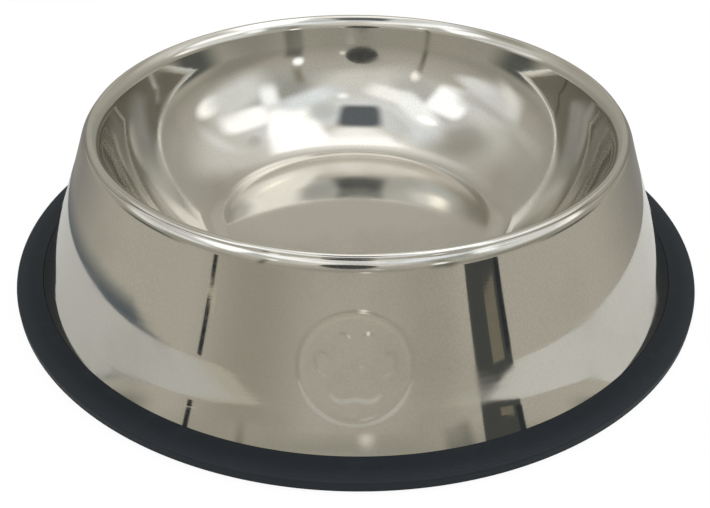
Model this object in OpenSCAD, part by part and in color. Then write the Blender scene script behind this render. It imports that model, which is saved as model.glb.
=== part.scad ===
// Non-tip pet bowl. A drawn steel pan is folded over the top lip of a flared steel skirt,
// and the skirt's foot stands in a non-skid rubber ring.
// The origin is on the ground under the middle of the bowl, and +Z is up.
// Lengths are in millimetres and angles in degrees.

/* [Rim] */
// Height from the ground to the top of the rim
bowl_h = 57; // [52:0.5:70]
// Diameter along the highest line of the rim
rim_d = 186.3; // [170:0.1:205]
// Radius of the fold along the top of the rim
crown_r = 1.5; // [1.4:0.05:2]
// Tilt of the sheet where the fold ends and the rounding into the pan starts
crown_tilt = 54.5; // [45:0.5:65]
// Radius of the rounding from the rim into the pan
rim_round_r = 8; // [6:0.25:11]
// Lean of the fold's outer leg from upright
fold_lean = 15; // [5:1:25]
// Slope of the neck where the fold's edge ends, from upright
seam_slope = 38; // [28:1:48]
// Gap between the fold and the lip that it holds
seam_gap = 0.1; // [0.05:0.01:0.2]

/* [Pan] */
// Thickness of the pan's sheet
pan_t = 0.7; // [0.5:0.05:0.9]
// Lean of the wall's short straight part, outwards towards the top
wall_tilt = 16.3; // [10:0.1:22]
// Length of the wall's straight part
wall_run = 6.4; // [2:0.1:12]
// Tilt of the sheet where the long curve under the wall meets the turn into the floor
curve_tilt = 60; // [52:0.5:66]
// Radius of the turn into the floor
heel_r = 20; // [12:0.5:26]
// Height of the floor's food side above the ground, along its lowest line
floor_h = 9.2; // [7:0.1:12]
// Lean of the floor at its edge, up towards the middle
floor_lean = 1.7; // [0.5:0.1:3]

/* [Skirt] */
// Thickness of the skirt's sheet
skirt_t = 0.7; // [0.5:0.05:0.9]
// Radius of the hollow neck under the rim
neck_r = 3.5; // [2.5:0.1:5]
// Slope at the bottom of the neck, from upright
neck_slope = 55; // [50:1:60]
// Radius of the soft shoulder under the neck
shoulder_r = 3.8; // [2.5:0.1:6]
// Slope of the skirt just under the shoulder, from upright
skirt_slope = 20.3; // [12:0.1:26]
// How far inside the ring's outer edge the skirt's foot starts to turn outwards
foot_inset = 8.7; // [7:0.1:10]
// Height above the ground at which the foot starts to turn
foot_h = 3.2; // [2.6:0.1:4.5]
// Radius of the foot's outward turn
foot_r = 1.5; // [1:0.1:2.2]
// Width of the flat flange outside the foot's turn
flange_w = 3.4; // [2:0.1:4.5]

/* [Ring] */
// Diameter over the rubber ring, the bowl's greatest width
ring_d = 254; // [250:1:266]
// Height of the ring's outer edge
ring_edge_h = 3.8; // [3:0.1:5]
// Height of the ring where it meets the skirt
ring_top_h = 4.3; // [4:0.1:5.5]
// Width of the ring's section, from its bore to its outer edge
ring_w = 12.5; // [11.5:0.1:15]
// Radius of the ring's rounded outer edges
ring_edge_r = 0.9; // [0.4:0.1:1.4]
// Gap between the rubber and the steel that it grips
grip_gap = 0.1; // [0.05:0.01:0.2]

/* [Hidden] */
// Greatest turn that one straight piece of an outline stands for
arc_step = 5;
// Number of pieces in the skirt's long curve, and in the floor's low dome
long_steps = 16;
// Sides of the bowl in a quick view
round_sides = 180;
level = 90;
half_turn = 180;
foot_d = ring_d - 2 * foot_inset;
ring_bore_d = ring_d - 2 * ring_w;

// A face point is [distance from the axis, height, tilt]. Tilt 0 is an upright wall that faces
// the axis, and tilt 90 is a level floor that faces up. An outline runs down a wall towards the
// axis as its tilt grows.

// Where an arc of radius r that starts at p comes to a new tilt
function turned(p, r, tilt) =
    let (s = sign(tilt - p[2]))
    [
        p[0] + s * r * (cos(tilt) - cos(p[2])),
        p[1] + s * r * (sin(p[2]) - sin(tilt)),
        tilt
    ];

// The points along that arc, without its start
function arc(p, r, tilt) =
    let (steps = ceil(abs(tilt - p[2]) / arc_step))
    [for (i = [1:steps]) turned(p, r, p[2] + (tilt - p[2]) * i / steps)];

// Where a straight run of a length ends
function run(p, length) = [p[0] - length * sin(p[2]), p[1] - length * cos(p[2]), p[2]];

// Height lost on an arc of radius r between two tilts
function arc_drop(r, tilt_a, tilt_b) = r * abs(sin(tilt_b) - sin(tilt_a));

// The face point, and the point of the sheet's other side, a distance t behind it
function face(p) = [p[0], p[1]];
function behind(p, t) = [p[0] + t * cos(p[2]), p[1] - t * sin(p[2])];

// Points round a corner of centre c, from angle a to angle b
function corner(c, r, a, b) =
    let (steps = ceil(abs(b - a) / arc_step))
    [for (i = [0:steps]) c + r * [cos(a + (b - a) * i / steps), sin(a + (b - a) * i / steps)]];

function last(list) = list[len(list) - 1];
function reversed(list) = [for (i = [len(list) - 1:-1:0]) list[i]];

// The rim's fold: its centre, and the top of the neck, where its outer leg begins
crown_c = [rim_d / 2, bowl_h - crown_r];
neck_top = [
    crown_c[0] + crown_r * cos(fold_lean),
    crown_c[1] + crown_r * sin(fold_lean),
    -fold_lean
];
// The fold's edge, on the neck
seam = turned(neck_top, neck_r, -seam_slope);

// The pan's food side, from the fold's edge over the rim and down to the floor
fold_edge = [seam[0], seam[1], half_turn - seam_slope];
fold_leg = concat([fold_edge], arc(fold_edge, neck_r, half_turn - fold_lean));
crown = arc(last(fold_leg), crown_r, crown_tilt);
rim_round = arc(last(crown), rim_round_r, wall_tilt);
wall_top = last(rim_round);
wall_foot = run(wall_top, wall_run);
// The long curve has the height that the turn into the floor leaves it
curve_drop = wall_foot[1] - floor_h - arc_drop(heel_r, curve_tilt, level);
curve_r = curve_drop / (sin(curve_tilt) - sin(wall_tilt));
curve = arc(wall_foot, curve_r, curve_tilt);
heel = arc(last(curve), heel_r, level + floor_lean);
// The floor is a low dome, drawn from its edge to the axis
dome_edge = last(heel);
dome_r = dome_edge[0] / sin(floor_lean);
dome = [for (i = [1:long_steps - 1])
    turned(dome_edge, dome_r, dome_edge[2] - floor_lean * i / long_steps)];
dome_top = [0, dome_edge[1] + dome_r * (1 - cos(floor_lean)), level];
pan_face = concat(fold_leg, crown, rim_round, [wall_foot], curve, heel, dome, [dome_top]);

// The skirt's outer face, from just under the fold's edge down to the end of its flange
step_slope = seam_slope + seam_gap / neck_r * half_turn / PI;
step = turned(neck_top, neck_r, -step_slope);
neck = arc(step, neck_r, -neck_slope);
shoulder = arc(last(neck), shoulder_r, -skirt_slope);
skirt_top = last(shoulder);
skirt_drop = skirt_top[1] - foot_h;
// How much the skirt bows outwards on its way down
skirt_bow = (foot_d / 2 - skirt_top[0] - skirt_drop * tan(skirt_slope)) / pow(skirt_drop, 2);
function skirt_at(drop) = [
    skirt_top[0] + drop * tan(skirt_slope) + skirt_bow * pow(drop, 2),
    skirt_top[1] - drop,
    -atan(tan(skirt_slope) + 2 * skirt_bow * drop)
];
long_curve = [for (i = [1:long_steps]) skirt_at(skirt_drop * i / long_steps)];
foot_start = last(long_curve);
foot_turn = arc(foot_start, foot_r, -level);
flange_start = last(foot_turn);
flange_end = run(flange_start, flange_w);
skirt_face = concat([step], neck, shoulder, long_curve, foot_turn, [flange_end]);

// The skirt steps in behind the fold's edge, and its lip runs up inside the fold
lip_out = pan_t + seam_gap;
lip_in = lip_out + skirt_t;
lip_face = concat([neck_top], arc(neck_top, neck_r, -step_slope));
lip_cap_c = behind(neck_top, -(lip_out + lip_in) / 2);
lip_cap = corner(lip_cap_c, skirt_t / 2, fold_lean + half_turn, fold_lean);

// The ring's groove follows the foot at the grip gap
groove_top_h = flange_start[1] + grip_gap;
groove_low_h = flange_start[1] - skirt_t - grip_gap;
groove_r = flange_end[0] + grip_gap;
mouth = skirt_at(skirt_top[1] - ring_top_h);
ring_r = ring_d / 2;

module revolved(outline) {
    rotate_extrude($fn = round_sides)
        polygon(outline);
}

// Drawn pan whose edge is rounded over and folded round the skirt's lip
module feeding_pan() {
    back = [for (p = pan_face) behind(p, pan_t)];
    color("gainsboro")
        revolved(concat([for (p = pan_face) face(p)], reversed(back)));
}

// Flared skirt, with its lip inside the rim's fold and its foot turned out into a flange
module outer_skirt() {
    outside = [for (p = skirt_face) face(p)];
    inside = [for (p = concat([last(neck)], shoulder, long_curve, foot_turn, [flange_end]))
        behind(p, -skirt_t)];
    lip_inside = [for (p = lip_face) behind(p, -lip_in)];
    lip_outside = [for (p = lip_face) behind(p, -lip_out)];
    color("silver")
        revolved(concat(outside, reversed(inside), reversed(lip_inside), lip_cap, lip_outside));
}

// Rubber ring with a groove on its inner side that grips the foot's flange
module base_ring() {
    gripped = [for (p = concat([mouth], [foot_start], foot_turn)) behind(p, grip_gap)];
    rounded_low = corner([ring_r - ring_edge_r, ring_edge_r], ring_edge_r, -level, 0);
    rounded_top = corner([ring_r - ring_edge_r, ring_edge_h - ring_edge_r], ring_edge_r,
        0, level);
    color([0.13, 0.15, 0.17])
        revolved(concat(
            [[ring_bore_d / 2, 0]],
            rounded_low,
            rounded_top,
            gripped,
            [[groove_r, groove_top_h], [groove_r, groove_low_h], [ring_bore_d / 2, groove_low_h]]
        ));
}

feeding_pan();
outer_skirt();
base_ring();
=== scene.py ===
import logging
import math
from dataclasses import dataclass, field
from enum import Enum

import bmesh
import bpy
from mathutils import Matrix, Vector


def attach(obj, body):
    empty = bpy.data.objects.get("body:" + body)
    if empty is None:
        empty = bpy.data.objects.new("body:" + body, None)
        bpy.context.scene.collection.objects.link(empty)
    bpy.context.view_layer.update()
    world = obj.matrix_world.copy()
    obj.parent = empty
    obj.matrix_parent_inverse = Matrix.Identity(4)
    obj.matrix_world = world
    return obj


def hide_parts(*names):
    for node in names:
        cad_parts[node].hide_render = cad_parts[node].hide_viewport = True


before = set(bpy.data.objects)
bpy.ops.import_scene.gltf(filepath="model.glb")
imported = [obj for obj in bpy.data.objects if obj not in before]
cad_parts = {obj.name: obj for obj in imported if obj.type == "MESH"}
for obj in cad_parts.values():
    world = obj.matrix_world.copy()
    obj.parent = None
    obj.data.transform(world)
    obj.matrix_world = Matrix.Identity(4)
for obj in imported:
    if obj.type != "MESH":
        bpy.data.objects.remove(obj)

LOG = logging.getLogger("pet_bowl")
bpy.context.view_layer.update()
BODY = "root"

# What the nodes take and give
Socket = bpy.types.NodeSocket
Colour = tuple[float, float, float]
Level = Socket | float
Paint = Socket | Colour
Stops = tuple[tuple[float, Colour], ...]

# Sizes are in millimetres and angles in degrees, as on a drawing. A finished mesh is brought to
# metres once.
MM = 0.001
Z_AXIS = Vector((0.0, 0.0, 1.0))
SECTION_AXIS = Vector((0.0, 1.0, 0.0))
LEVEL = 90.0
MERGE_GAP = 0.0004
BLACK = (0.0, 0.0, 0.0)
WHITE = (1.0, 1.0, 1.0)
QUARTERS = 4
SHARP_TURN = 40.0
TINY = 1e-9


class Motif(Enum):
    """What is pressed into the skirt at each quarter turn."""

    BARE = "bare"
    PAW = "paw"


@dataclass(frozen=True)
class FacePoint:
    """A point of a sheet's face, with the tilt of the sheet there.

    Tilt 0 is an upright wall that faces the axis, and tilt 90 is a level floor that faces up.
    """

    out: float
    up: float
    tilt: float

    def at(self) -> Vector:
        """Return the point in the section plane, which is the XZ plane."""
        return Vector((self.out, 0.0, self.up))

    def behind(self, depth: float) -> Vector:
        """Return the point at a depth behind the face."""
        angle = math.radians(self.tilt)
        return self.at() + depth * Vector((math.cos(angle), 0.0, -math.sin(angle)))

    def turned(self, radius: float, tilt: float) -> "FacePoint":
        """Return where an arc that starts here comes to a new tilt.

        Args:
            radius: radius of the arc.
            tilt: tilt at which the arc ends.

        Returns:
            The arc's last point.
        """
        side = math.copysign(radius, tilt - self.tilt)
        old, new = math.radians(self.tilt), math.radians(tilt)
        return FacePoint(
            self.out + side * (math.cos(new) - math.cos(old)),
            self.up + side * (math.sin(old) - math.sin(new)),
            tilt,
        )

    def ahead(self, length: float) -> "FacePoint":
        """Return the end of a straight run from here.

        Args:
            length: the run's length.

        Returns:
            The run's last point.
        """
        angle = math.radians(self.tilt)
        return FacePoint(
            self.out - length * math.sin(angle), self.up - length * math.cos(angle), self.tilt
        )


def arc_drop(radius: float, tilt_a: float, tilt_b: float) -> float:
    """Return the height lost on an arc between two tilts."""
    return radius * abs(math.sin(math.radians(tilt_b)) - math.sin(math.radians(tilt_a)))


class SectionPen:
    """Draws the section of a turned piece as a wire, by extruding and spinning its last vertex."""

    def __init__(self, mesh: bmesh.types.BMesh, fineness: float) -> None:
        """Start an empty section.

        Args:
            mesh: the mesh that the wire is drawn into.
            fineness: greatest turn, in degrees, between two vertices of an arc.
        """
        self.mesh = mesh
        self.fineness = fineness
        self.tip: bmesh.types.BMVert | None = None

    def start(self, point: Vector) -> bmesh.types.BMVert:
        """Put the pen down at a point and return its vertex."""
        self.tip = bmesh.ops.create_vert(self.mesh, co=point)["vert"][0]
        return self.tip

    def line_to(self, point: Vector) -> None:
        """Extrude the wire straight to a point."""
        self.tip = bmesh.ops.extrude_vert_indiv(self.mesh, verts=[self.tip])["verts"][0]
        bmesh.ops.translate(self.mesh, verts=[self.tip], vec=point - self.tip.co)

    def spin(self, centre: Vector, turn: float) -> None:
        """Spin the wire's last vertex about a centre in the section plane.

        Args:
            centre: centre of the arc.
            turn: turn in degrees, which raises the tilt where it is positive.
        """
        steps = max(1, math.ceil(abs(turn) / self.fineness))
        made = bmesh.ops.spin(
            self.mesh,
            geom=[self.tip],
            cent=centre,
            axis=SECTION_AXIS,
            angle=math.radians(turn),
            steps=steps,
            use_duplicate=False,
        )
        self.tip = next(part for part in made["geom_last"] if isinstance(part, bmesh.types.BMVert))


@dataclass(frozen=True)
class Stroke:
    """One stroke of a sheet's face: an arc, or a straight run where the radius is 0."""

    first: FacePoint
    last: FacePoint
    radius: float = 0.0

    def centre(self) -> Vector:
        """Return the arc's centre.

        Returns:
            The centre, in the section plane.
        """
        side = math.copysign(self.radius, self.last.tilt - self.first.tilt)
        angle = math.radians(self.first.tilt)
        return self.first.at() - side * Vector((math.cos(angle), 0.0, -math.sin(angle)))

    def draw(self, pen: SectionPen) -> None:
        """Draw the face along the stroke.

        Args:
            pen: the pen, which is down at the stroke's first point.
        """
        if self.radius:
            pen.spin(self.centre(), self.last.tilt - self.first.tilt)
        else:
            pen.line_to(self.last.at())

    def draw_back(self, pen: SectionPen, depth: float) -> None:
        """Draw the sheet's other side along the stroke, from its last point to its first.

        Args:
            pen: the pen, which is down behind the last point.
            depth: the sheet's thickness.
        """
        if self.radius:
            pen.spin(self.centre(), self.first.tilt - self.last.tilt)
        else:
            pen.line_to(self.first.behind(depth))


@dataclass
class SheetLine:
    """The face of a formed sheet: its start, and the strokes that follow."""

    start: FacePoint
    strokes: list[Stroke] = field(default_factory=list)

    @property
    def end(self) -> FacePoint:
        """The last point so far."""
        return self.strokes[-1].last if self.strokes else self.start

    def to(self, point: FacePoint, radius: float = 0.0) -> "SheetLine":
        """Add a stroke to a point, straight if no radius is given, and return the line."""
        self.strokes.append(Stroke(self.end, point, radius))
        return self

    def arc(self, radius: float, tilt: float) -> "SheetLine":
        """Add an arc to a new tilt and return the line."""
        return self.to(self.end.turned(radius, tilt), radius)

    def run(self, length: float) -> "SheetLine":
        """Add a straight run and return the line."""
        return self.to(self.end.ahead(length))

    def draw(self, pen: SectionPen) -> None:
        """Draw the face with a pen that is down at its start."""
        for stroke in self.strokes:
            stroke.draw(pen)

    def draw_back(self, pen: SectionPen, depth: float) -> None:
        """Draw the sheet's other side with a pen that is down behind its end."""
        for stroke in reversed(self.strokes):
            stroke.draw_back(pen, depth)


def new_object(mesh: bmesh.types.BMesh, name: str) -> bpy.types.Object:
    """Make an object of a mesh.

    Args:
        mesh: the mesh, in metres, which is freed.
        name: the object's name.

    Returns:
        The object, at the origin.
    """
    data = bpy.data.meshes.new(name)
    mesh.to_mesh(data)
    mesh.free()
    made = bpy.data.objects.new(name, data)
    bpy.context.collection.objects.link(made)
    return made


@dataclass
class Turned:
    """A piece that is round about the bowl's axis."""

    name: str
    node: str
    slot: str
    around: int = 300

    def section(self, mesh: bmesh.types.BMesh) -> None:
        """Draw the piece's section into a mesh."""
        raise NotImplementedError

    def sectors(self) -> list[tuple[float, int]]:
        """Return the sectors of a quarter turn, each as its angle and its steps."""
        return [(LEVEL, self.around // QUARTERS)]

    def press(self, mesh: bmesh.types.BMesh) -> None:
        """Form what isn't round, once the piece has been spun."""

    def build(self) -> bpy.types.Object:
        """Spin the section into a closed mesh.

        Returns:
            The piece's object, at the origin.
        """
        mesh = bmesh.new()
        self.section(mesh)
        swept = mesh.verts[:] + mesh.edges[:]
        for angle, steps in self.sectors():
            made = bmesh.ops.spin(
                mesh,
                geom=swept,
                cent=(0.0, 0.0, 0.0),
                axis=Z_AXIS,
                angle=math.radians(angle),
                steps=steps,
                use_merge=False,
                use_duplicate=False,
            )
            swept = made["geom_last"]
        quarter = mesh.verts[:] + mesh.edges[:] + mesh.faces[:]
        for i in range(1, QUARTERS):
            made = bmesh.ops.duplicate(mesh, geom=quarter)
            copied = [part for part in made["geom"] if isinstance(part, bmesh.types.BMVert)]
            turn = Matrix.Rotation(math.radians(i * LEVEL), 3, Z_AXIS)
            bmesh.ops.rotate(mesh, cent=(0.0, 0.0, 0.0), matrix=turn, verts=copied)
        bmesh.ops.remove_doubles(mesh, verts=mesh.verts[:], dist=MERGE_GAP)
        bmesh.ops.recalc_face_normals(mesh, faces=mesh.faces[:])
        self.press(mesh)
        for face in mesh.faces:
            face.smooth = True
        for edge in mesh.edges:
            edge.smooth = edge.calc_face_angle(0.0) < math.radians(SHARP_TURN)
        bmesh.ops.scale(mesh, vec=(MM, MM, MM), verts=mesh.verts[:])
        piece = new_object(mesh, self.name)
        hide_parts(self.node)
        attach(piece, BODY)
        return piece


@dataclass
class Rim:
    """The rolled rim, where the pan's sheet is folded over the skirt's lip."""

    top: float = 57.0
    across: float = 186.3
    crown_r: float = 1.5
    crown_tilt: float = 54.5
    round_r: float = 8.0
    lean: float = 27.0
    seam_slope: float = 38.0
    seam_gap: float = 0.1
    neck_r: float = 2.1

    def neck_top(self) -> FacePoint:
        """Return the top of the neck.

        Returns:
            The point where the fold's outer leg begins.
        """
        lean = math.radians(self.lean)
        centre = Vector((self.across / 2, 0.0, self.top - self.crown_r))
        point = centre + self.crown_r * Vector((math.cos(lean), 0.0, math.sin(lean)))
        return FacePoint(point.x, point.z, -self.lean)


@dataclass
class FeedingPan(Turned):
    """The drawn pan, from the fold's edge over the rim and down to the middle of its floor."""

    name: str = "pan_polished"
    node: str = "feeding_pan"
    slot: str = "pan_steel"
    rim: Rim = field(default_factory=Rim)
    sheet: float = 0.7
    wall_tilt: float = 16.3
    wall_run: float = 6.4
    curve_tilt: float = 60.0
    heel_r: float = 20.0
    floor_h: float = 9.2
    floor_lean: float = 1.7
    fineness: float = 1.5
    dome_steps: int = 24

    def face(self) -> SheetLine:
        """Return the pan's food side.

        Returns:
            The line, from the fold's edge to the edge of the floor's dome.
        """
        seam = self.rim.neck_top().turned(self.rim.neck_r, -self.rim.seam_slope)
        line = SheetLine(FacePoint(seam.out, seam.up, 2 * LEVEL - self.rim.seam_slope))
        line.arc(self.rim.neck_r, 2 * LEVEL - self.rim.lean)
        line.arc(self.rim.crown_r, self.rim.crown_tilt)
        line.arc(self.rim.round_r, self.wall_tilt).run(self.wall_run)
        drop = line.end.up - self.floor_h - arc_drop(self.heel_r, self.curve_tilt, LEVEL)
        line.arc(drop / arc_drop(1.0, self.wall_tilt, self.curve_tilt), self.curve_tilt)
        return line.arc(self.heel_r, LEVEL + self.floor_lean)

    def dome(self, edge: FacePoint) -> list[FacePoint]:
        """Return the points of the floor's low dome, from inside its edge to the axis.

        Args:
            edge: the floor's edge, where the heel ends.

        Returns:
            The points, in order.
        """
        radius = edge.out / math.sin(math.radians(self.floor_lean))
        points = []
        for i in range(1, self.dome_steps + 1):
            out = edge.out * (1 - i / self.dome_steps)
            rise = math.sqrt(radius**2 - out**2) - math.sqrt(radius**2 - edge.out**2)
            tilt = LEVEL + math.degrees(math.asin(out / radius))
            points.append(FacePoint(out, edge.up + rise, tilt))
        return points

    def section(self, mesh: bmesh.types.BMesh) -> None:
        """Draw the food side, the underside and the fold's cut edge.

        Args:
            mesh: the mesh that is drawn into.
        """
        line = self.face()
        pen = SectionPen(mesh, self.fineness)
        first = pen.start(line.start.at())
        line.draw(pen)
        floor = self.dome(line.end)
        for point in floor:
            pen.line_to(point.at())
        back = SectionPen(mesh, 2 * self.fineness)
        back.start(floor[-1].behind(self.sheet))
        for point in reversed(floor[:-1]):
            back.line_to(point.behind(self.sheet))
        back.line_to(line.end.behind(self.sheet))
        line.draw_back(back, self.sheet)
        bmesh.ops.contextual_create(mesh, geom=[first, back.tip])


@dataclass(frozen=True)
class Pad:
    """One oval pad of the pressed motif."""

    across: float
    up: float
    half_w: float
    half_h: float
    turn: float = 0.0

    def distance(self, across: float, up: float) -> float:
        """Return about how far a point lies outside the oval.

        Args:
            across: distance along the sheet from the motif's middle.
            up: distance up the sheet from the motif's middle.

        Returns:
            The distance, less than zero inside.
        """
        turn = math.radians(self.turn)
        x, y = across - self.across, up - self.up
        x, y = x * math.cos(turn) + y * math.sin(turn), y * math.cos(turn) - x * math.sin(turn)
        reach = math.hypot(x / self.half_w, y / self.half_h)
        return (reach - 1.0) * min(self.half_w, self.half_h)


@dataclass(frozen=True)
class PressedMotif:
    """A group of pads that blend where they meet, inside a round border."""

    pads: tuple[Pad, ...]
    border_r: float = 15.6
    border_half: float = 0.8
    blend: float = 1.2

    def fill(self, across: float, up: float, edge: float) -> float:
        """Return how far the motif is raised at a point, from 0 to 1.

        Args:
            across: distance along the sheet from the motif's middle.
            up: distance up the sheet from the motif's middle.
            edge: half the width of the sloping edge round a pad.

        Returns:
            The share of the full relief.
        """
        near = [math.exp(-pad.distance(across, up) / self.blend) for pad in self.pads]
        border = abs(math.hypot(across, up) - self.border_r) - self.border_half
        distance = min(-self.blend * math.log(max(sum(near), TINY)), border)
        share = min(max((edge - distance) / (2 * edge), 0.0), 1.0)
        # A smooth step: level at both ends
        return share * share * (3 - 2 * share)


PAW = PressedMotif(
    (
        Pad(0.0, -3.6, 4.8, 4.2),
        Pad(-3.7, -6.2, 3.3, 2.9, 20.0),
        Pad(3.7, -6.2, 3.3, 2.9, -20.0),
        Pad(-8.8, 1.2, 2.3, 3.5, 24.0),
        Pad(8.8, 1.2, 2.3, 3.5, -24.0),
        Pad(-3.5, 6.4, 2.5, 3.8, 7.0),
        Pad(3.5, 6.4, 2.5, 3.8, -7.0),
    )
)


@dataclass
class OuterSkirt(Turned):
    """The flared skirt, with its lip inside the rim's fold and its foot turned out.

    Shoulder pairs radii with the slopes they end at. Slack pairs heights with the degrees that the
    skirt leans there beyond its plain bow.
    """

    name: str = "skirt_polished"
    node: str = "outer_skirt"
    slot: str = "skirt_steel"
    rim: Rim = field(default_factory=Rim)
    sheet: float = 0.7
    pan_sheet: float = 0.7
    neck_slope: float = 48.0
    shoulder: tuple[tuple[float, float], ...] = ((5.5, 31.5), (8.6, 24.0), (14.0, 20.3))
    slope: float = 20.3
    foot_across: float = 236.6
    foot_h: float = 3.2
    foot_r: float = 1.5
    flange: float = 3.4
    fineness: float = 3.0
    rows: int = 24
    motif_rows: int = 60
    inner_rows: int = 14
    inner_fineness: float = 12.0
    motif: Motif = Motif.PAW
    motif_half: float = 18.0
    motif_step: float = 0.5
    plain_step: float = 2.0
    motif_h: float = 27.5
    motif_depth: float = 0.09
    motif_edge: float = 0.7
    slack: tuple[tuple[float, float], ...] = (
        (3.2, 4.5),
        (6.4, 3.4),
        (8.9, 2.2),
        (11.4, 0.3),
        (12.7, -1.0),
        (15.2, -2.2),
        (22.9, -1.5),
        (25.4, -0.5),
        (30.5, -0.4),
        (38.1, -0.3),
        (52.0, -0.2),
    )
    slack_steps: int = 240

    def slack_at(self, up: float) -> float:
        """Return the skirt's slack at a height.

        Args:
            up: the height.

        Returns:
            The degrees that it leans beyond its plain bow.
        """
        for (low, first), (high, last) in zip(self.slack, self.slack[1:]):
            if up <= high:
                share = max(up - low, 0.0) / (high - low)
                return first + share * (last - first)
        return self.slack[-1][1]

    def heights(self, top: float) -> list[float]:
        """Return the heights of the bow's points, close together over the motif.

        Args:
            top: the height at which the bow begins.

        Returns:
            The heights, from below the top down to the foot's turn.
        """
        coarse = [top - (top - self.foot_h) * i / self.rows for i in range(1, self.rows + 1)]
        half = self.motif_half
        motif_top, step = self.motif_h + half, 2 * half / self.motif_rows
        fine = [motif_top - i * step for i in range(self.motif_rows + 1)]
        kept = [up for up in coarse if abs(up - self.motif_h) > half + self.motif_step]
        return sorted(kept + fine, reverse=True)

    def curve(self, top: FacePoint, heights: list[float]) -> list[FacePoint]:
        """Return points of the skirt's long outward bow.

        Args:
            top: the point under the shoulder, where the bow begins.
            heights: the heights of the points.

        Returns:
            The points, in the order of the heights.
        """
        drop = top.up - self.foot_h
        lean = math.tan(math.radians(self.slope))
        bow = (self.foot_across / 2 - top.out - drop * lean) / drop**2
        step = drop / self.slack_steps
        slopes = [lean]
        outs = [top.out]
        for i in range(1, self.slack_steps + 1):
            slack = math.radians(self.slack_at(top.up - i * step))
            slopes.append(math.tan(math.atan(lean + 2 * bow * i * step) + slack))
            outs.append(outs[-1] + step * (slopes[-2] + slopes[-1]) / 2)
        short = (self.foot_across / 2 - outs[-1]) / drop
        points = []
        for up in heights:
            down = top.up - up
            i = min(int(down / step), self.slack_steps - 1)
            share = down / step - i
            out = outs[i] + share * (outs[i + 1] - outs[i]) + short * down
            slope = slopes[i] + share * (slopes[i + 1] - slopes[i]) + short
            points.append(FacePoint(out, up, -math.degrees(math.atan(slope))))
        return points

    def face(self, inner: bool = False) -> SheetLine:
        """Return the skirt's outer side, from under the fold's edge to the flange's end.

        Args:
            inner: whether the line is for the inner side, which has fewer points.

        Returns:
            The line.
        """
        rim = self.rim
        step = rim.seam_slope + math.degrees(rim.seam_gap / rim.neck_r)
        line = SheetLine(rim.neck_top().turned(rim.neck_r, -step))
        line.arc(rim.neck_r, -self.neck_slope)
        for radius, slope in self.shoulder:
            line.arc(radius, -slope)
        top = line.end.up
        count = self.inner_rows
        few = [top - (top - self.foot_h) * i / count for i in range(1, count + 1)]
        for point in self.curve(line.end, few if inner else self.heights(top)):
            line.to(point)
        line.arc(self.foot_r, -LEVEL)
        return line.run(self.flange)

    def section(self, mesh: bmesh.types.BMesh) -> None:
        """Draw the outer side, the inner side and the lip that steps in behind the fold.

        Args:
            mesh: the mesh that is drawn into.
        """
        rim = self.rim
        line = self.face()
        lip = SheetLine(rim.neck_top())
        lip.arc(rim.neck_r, line.start.tilt)
        near = -(self.pan_sheet + rim.seam_gap)
        far = near - self.sheet
        pen = SectionPen(mesh, self.fineness)
        first = pen.start(line.start.at())
        line.draw(pen)
        pen.line_to(line.end.behind(-self.sheet))
        pen.fineness = self.inner_fineness
        for stroke in reversed(self.face(inner=True).strokes[1:]):
            stroke.draw_back(pen, -self.sheet)
        pen.line_to(lip.end.behind(far))
        lip.draw_back(pen, far)
        pen.spin(lip.start.behind((near + far) / 2), 2 * LEVEL)
        lip.draw(pen)
        bmesh.ops.contextual_create(mesh, geom=[first, pen.tip])

    def half_turn_of_motif(self) -> float:
        """Return half the angle that the pressed motif takes."""
        return math.degrees(self.motif_half / (self.foot_across / 2 - self.motif_half / 2))

    def sectors(self) -> list[tuple[float, int]]:
        """Return a coarse sector between two fine ones, each of which holds half a motif.

        Returns:
            The sectors, each as its angle and its steps.
        """
        half = self.half_turn_of_motif()
        rest = LEVEL - 2 * half
        fine = math.ceil(self.motif_half / self.motif_step)
        plain = math.ceil(math.radians(rest) * self.foot_across / 2 / self.plain_step)
        return [(half, fine), (rest, plain), (half, fine)]

    def press(self, mesh: bmesh.types.BMesh) -> None:
        """Raise the motif's pads out of the sheet at each quarter turn.

        Args:
            mesh: the spun skirt, in millimetres.
        """
        if self.motif is Motif.BARE:
            return
        lean = math.radians(self.slope)
        for vert in mesh.verts:
            around = math.degrees(math.atan2(vert.co.y, vert.co.x))
            off = (around + LEVEL / 2) % LEVEL - LEVEL / 2
            out = math.hypot(vert.co.x, vert.co.y)
            across = math.radians(off) * out
            up = (vert.co.z - self.motif_h) / math.cos(lean)
            lift = self.motif_depth * PAW.fill(across, up, self.motif_edge)
            if lift > 0.0:
                outwards = Vector((vert.co.x / out, vert.co.y / out, math.tan(lean)))
                vert.co += lift * outwards.normalized()


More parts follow.
